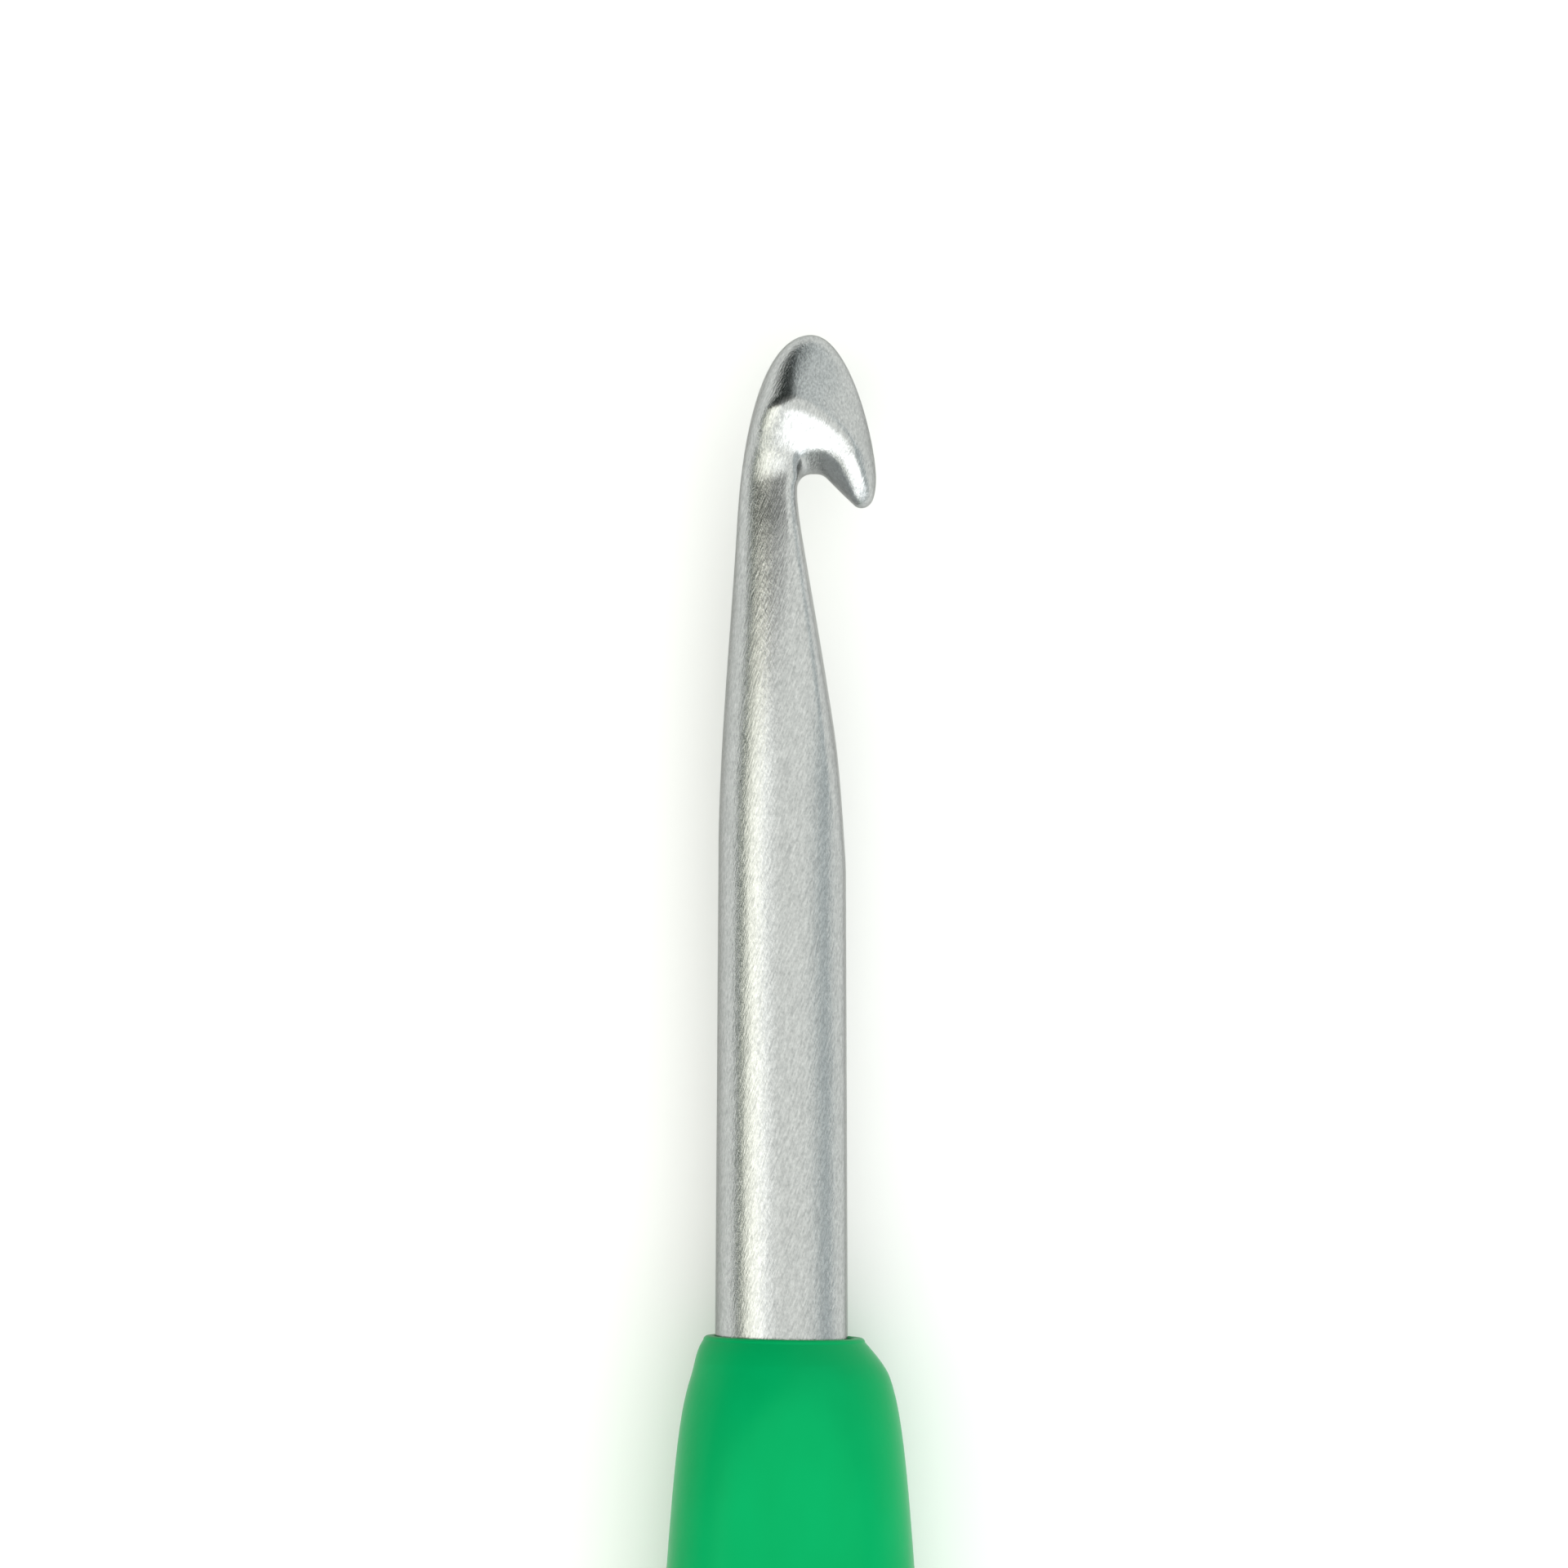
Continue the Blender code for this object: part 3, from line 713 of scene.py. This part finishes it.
def grip_material():
    """Smooth satin elastomer, green, with a slightly darker band painted at the collar: painted shade where
    the chamfer there slopes away from the light.
    """
    material, tree, shader = new_material("grip_elastomer")
    where = add_node(tree, "ShaderNodeTexCoord").outputs["Object"]
    cloud = noise(tree, where, (7.0, 4.0, 4.0), 0.0, 3.0, 0.5)
    skin = noise(tree, where, (0.30, 0.30, 0.30), 0.0, 3.0, 0.6)
    patches = ramp(tree, cloud, 0.35, 0.65, 0.0, 1.0)
    green = mix_colours(tree, patches, (0.0, 0.306, 0.090), (0.0, 0.334, 0.102))
    parts = add_node(tree, "ShaderNodeSeparateXYZ")
    tree.links.new(where, parts.inputs[0])
    # Painted shade: within the band behind the rim the grip's colour is a little darker, standing for the
    # shade of the chamfer there.
    collar_shade_start = AXIS.x - (COLLAR_STATION + COLLAR_SHADE_LENGTH) * MM
    collar_shade = smooth_ramp(tree, parts.outputs["X"], collar_shade_start - COLLAR_SHADE_EDGE * MM, collar_shade_start)
    tree.links.new(mix_colours(tree, collar_shade, green, (0.0, 0.322, 0.096)), shader.inputs["Base Color"])
    tree.links.new(ramp(tree, cloud, 0.3, 0.7, 0.30, 0.38), shader.inputs["Roughness"])
    tree.links.new(bump(tree, skin, 0.02, 0.25), shader.inputs["Normal"])
    shader.inputs["Specular IOR Level"].default_value = 0.04
    shader.inputs["Sheen Weight"].default_value = 0.07
    shader.inputs["Sheen Roughness"].default_value = 0.22
    return material


def core_material():
    """Plain moulded plastic with a faint mould grain."""
    material, tree, shader = new_material("core_moulded")
    where = add_node(tree, "ShaderNodeTexCoord").outputs["Object"]
    grain = noise(tree, where, (0.5, 0.5, 0.5), 0.0, 3.0, 0.6)
    colour = mix_colours(tree, grain, (0.70, 0.70, 0.66), (0.75, 0.75, 0.71))
    tree.links.new(colour, shader.inputs["Base Color"])
    tree.links.new(ramp(tree, grain, 0.3, 0.7, 0.42, 0.55), shader.inputs["Roughness"])
    tree.links.new(bump(tree, grain, 0.03, 0.2), shader.inputs["Normal"])
    return material


def floor_material():
    """A pale matt studio floor."""
    material, tree, shader = new_material("floor_pale")
    shader.inputs["Base Color"].default_value = (0.93, 0.93, 0.93, 1.0)
    shader.inputs["Roughness"].default_value = 0.9
    shader.inputs["Specular IOR Level"].default_value = 0.1
    return material


def make_floor():
    """A wide pale floor that the hook lies on."""
    corners = [(x * FLOOR_REACH, y * FLOOR_REACH, 0.0) for x, y in ((-1, -1), (1, -1), (1, 1), (-1, 1))]
    floor = make_mesh_object("floor", corners, [(0, 1, 2, 3)])
    floor.location.z = -FLOOR_DROP * MM
    floor.data.materials.append(floor_material())


def make_camera():
    """Straight down on the hook, its tip towards the picture's top and its mouth to the right."""
    camera = bpy.data.objects.new("camera", bpy.data.cameras.new("camera"))
    bpy.context.scene.collection.objects.link(camera)
    camera.location = (AXIS.x - PICTURE_STATION * MM, AXIS.y, AXIS.z + CAMERA_HEIGHT * MM)
    camera.rotation_euler = (0.0, 0.0, -math.pi / 2.0)
    camera.data.sensor_width = SENSOR
    camera.data.lens = SENSOR * CAMERA_HEIGHT / PICTURE_WIDTH
    camera.data.clip_start = CAMERA_NEAR * MM
    bpy.context.scene.camera = camera


def area_light(name, place, size, radiance, colour):
    """A soft rectangular light aimed at the hook, given by what it looks like in a mirror."""
    light = bpy.data.lights.new(name, "AREA")
    light.shape = "RECTANGLE"
    light.size, light.size_y = size
    light.energy = radiance * math.pi * size[0] * size[1]
    light.color = colour
    lamp = bpy.data.objects.new(name, light)
    bpy.context.scene.collection.objects.link(lamp)
    lamp.location = place
    towards = Vector((AXIS.x - SOFTBOX_AIM * MM, AXIS.y, AXIS.z)) - Vector(place)
    lamp.rotation_euler = towards.to_track_quat("-Z", "Y").to_euler()


def towards_side(tree, direction, side):
    """How nearly a direction points to a side, from -1 to 1."""
    node = add_node(tree, "ShaderNodeVectorMath", operation="DOT_PRODUCT")
    node.inputs[1].default_value = side
    tree.links.new(direction, node.inputs[0])
    return node.outputs["Value"]


def make_world():
    """A pale sky over a horizon that is dark behind the hook's back, with one dark card."""
    world = bpy.data.worlds.new("studio")
    bpy.context.scene.world = world
    world.use_nodes = True
    tree = world.node_tree
    direction = add_node(tree, "ShaderNodeTexCoord").outputs["Generated"]
    parts = add_node(tree, "ShaderNodeSeparateXYZ")
    tree.links.new(direction, parts.inputs[0])
    to_back = ramp(tree, parts.outputs["Y"], -0.25, 0.55, 0.0, 1.0)
    horizon = mix_colours(tree, to_back, SKY_BEFORE_MOUTH, SKY_BEHIND_BACK)
    to_tip = ramp(tree, towards_side(tree, direction, TIP_SIDE), 0.62, 0.95, 0.0, 1.0)
    horizon = mix_colours(tree, to_tip, horizon, SKY_TIP_SIDE)
    to_butt = ramp(tree, towards_side(tree, direction, BUTT_SIDE), 0.72, 0.92, 0.0, 1.0)
    horizon = mix_colours(tree, to_butt, horizon, SKY_BUTT_SIDE)
    upward = smooth_ramp(tree, parts.outputs["Z"], 0.25, 0.80)
    sky = mix_colours(tree, upward, horizon, SKY_OVERHEAD)
    to_card = smooth_ramp(tree, towards_side(tree, direction, CARD_SIDE), 0.72, 0.84)
    shade = ramp(tree, to_card, 0.0, 1.0, 1.0, CARD_SHADE)
    tree.links.new(sky, tree.nodes["Background"].inputs["Color"])
    tree.links.new(shade, tree.nodes["Background"].inputs["Strength"])


def make_lights():
    """Soft studio light: the sky, two softboxes on the hook's back side and a wide one over the handle."""
    for name, (place, size, radiance, colour) in SOFTBOXES.items():
        area_light(name, place, size, radiance, colour)
    make_world()


def main():
    make_camera()
    hook = make_hook()
    hook.data.materials.append(aluminium_material())
    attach(hook, "root")
    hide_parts("hook_rod")
    grip = make_grip()
    grip.data.materials.append(grip_material())
    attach(grip, "root")
    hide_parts("soft_grip")
    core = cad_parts["handle_core"]
    core.data.materials.clear()
    core.data.materials.append(core_material())
    make_floor()
    make_lights()
    bpy.context.scene.view_settings.view_transform = "Standard"


main()
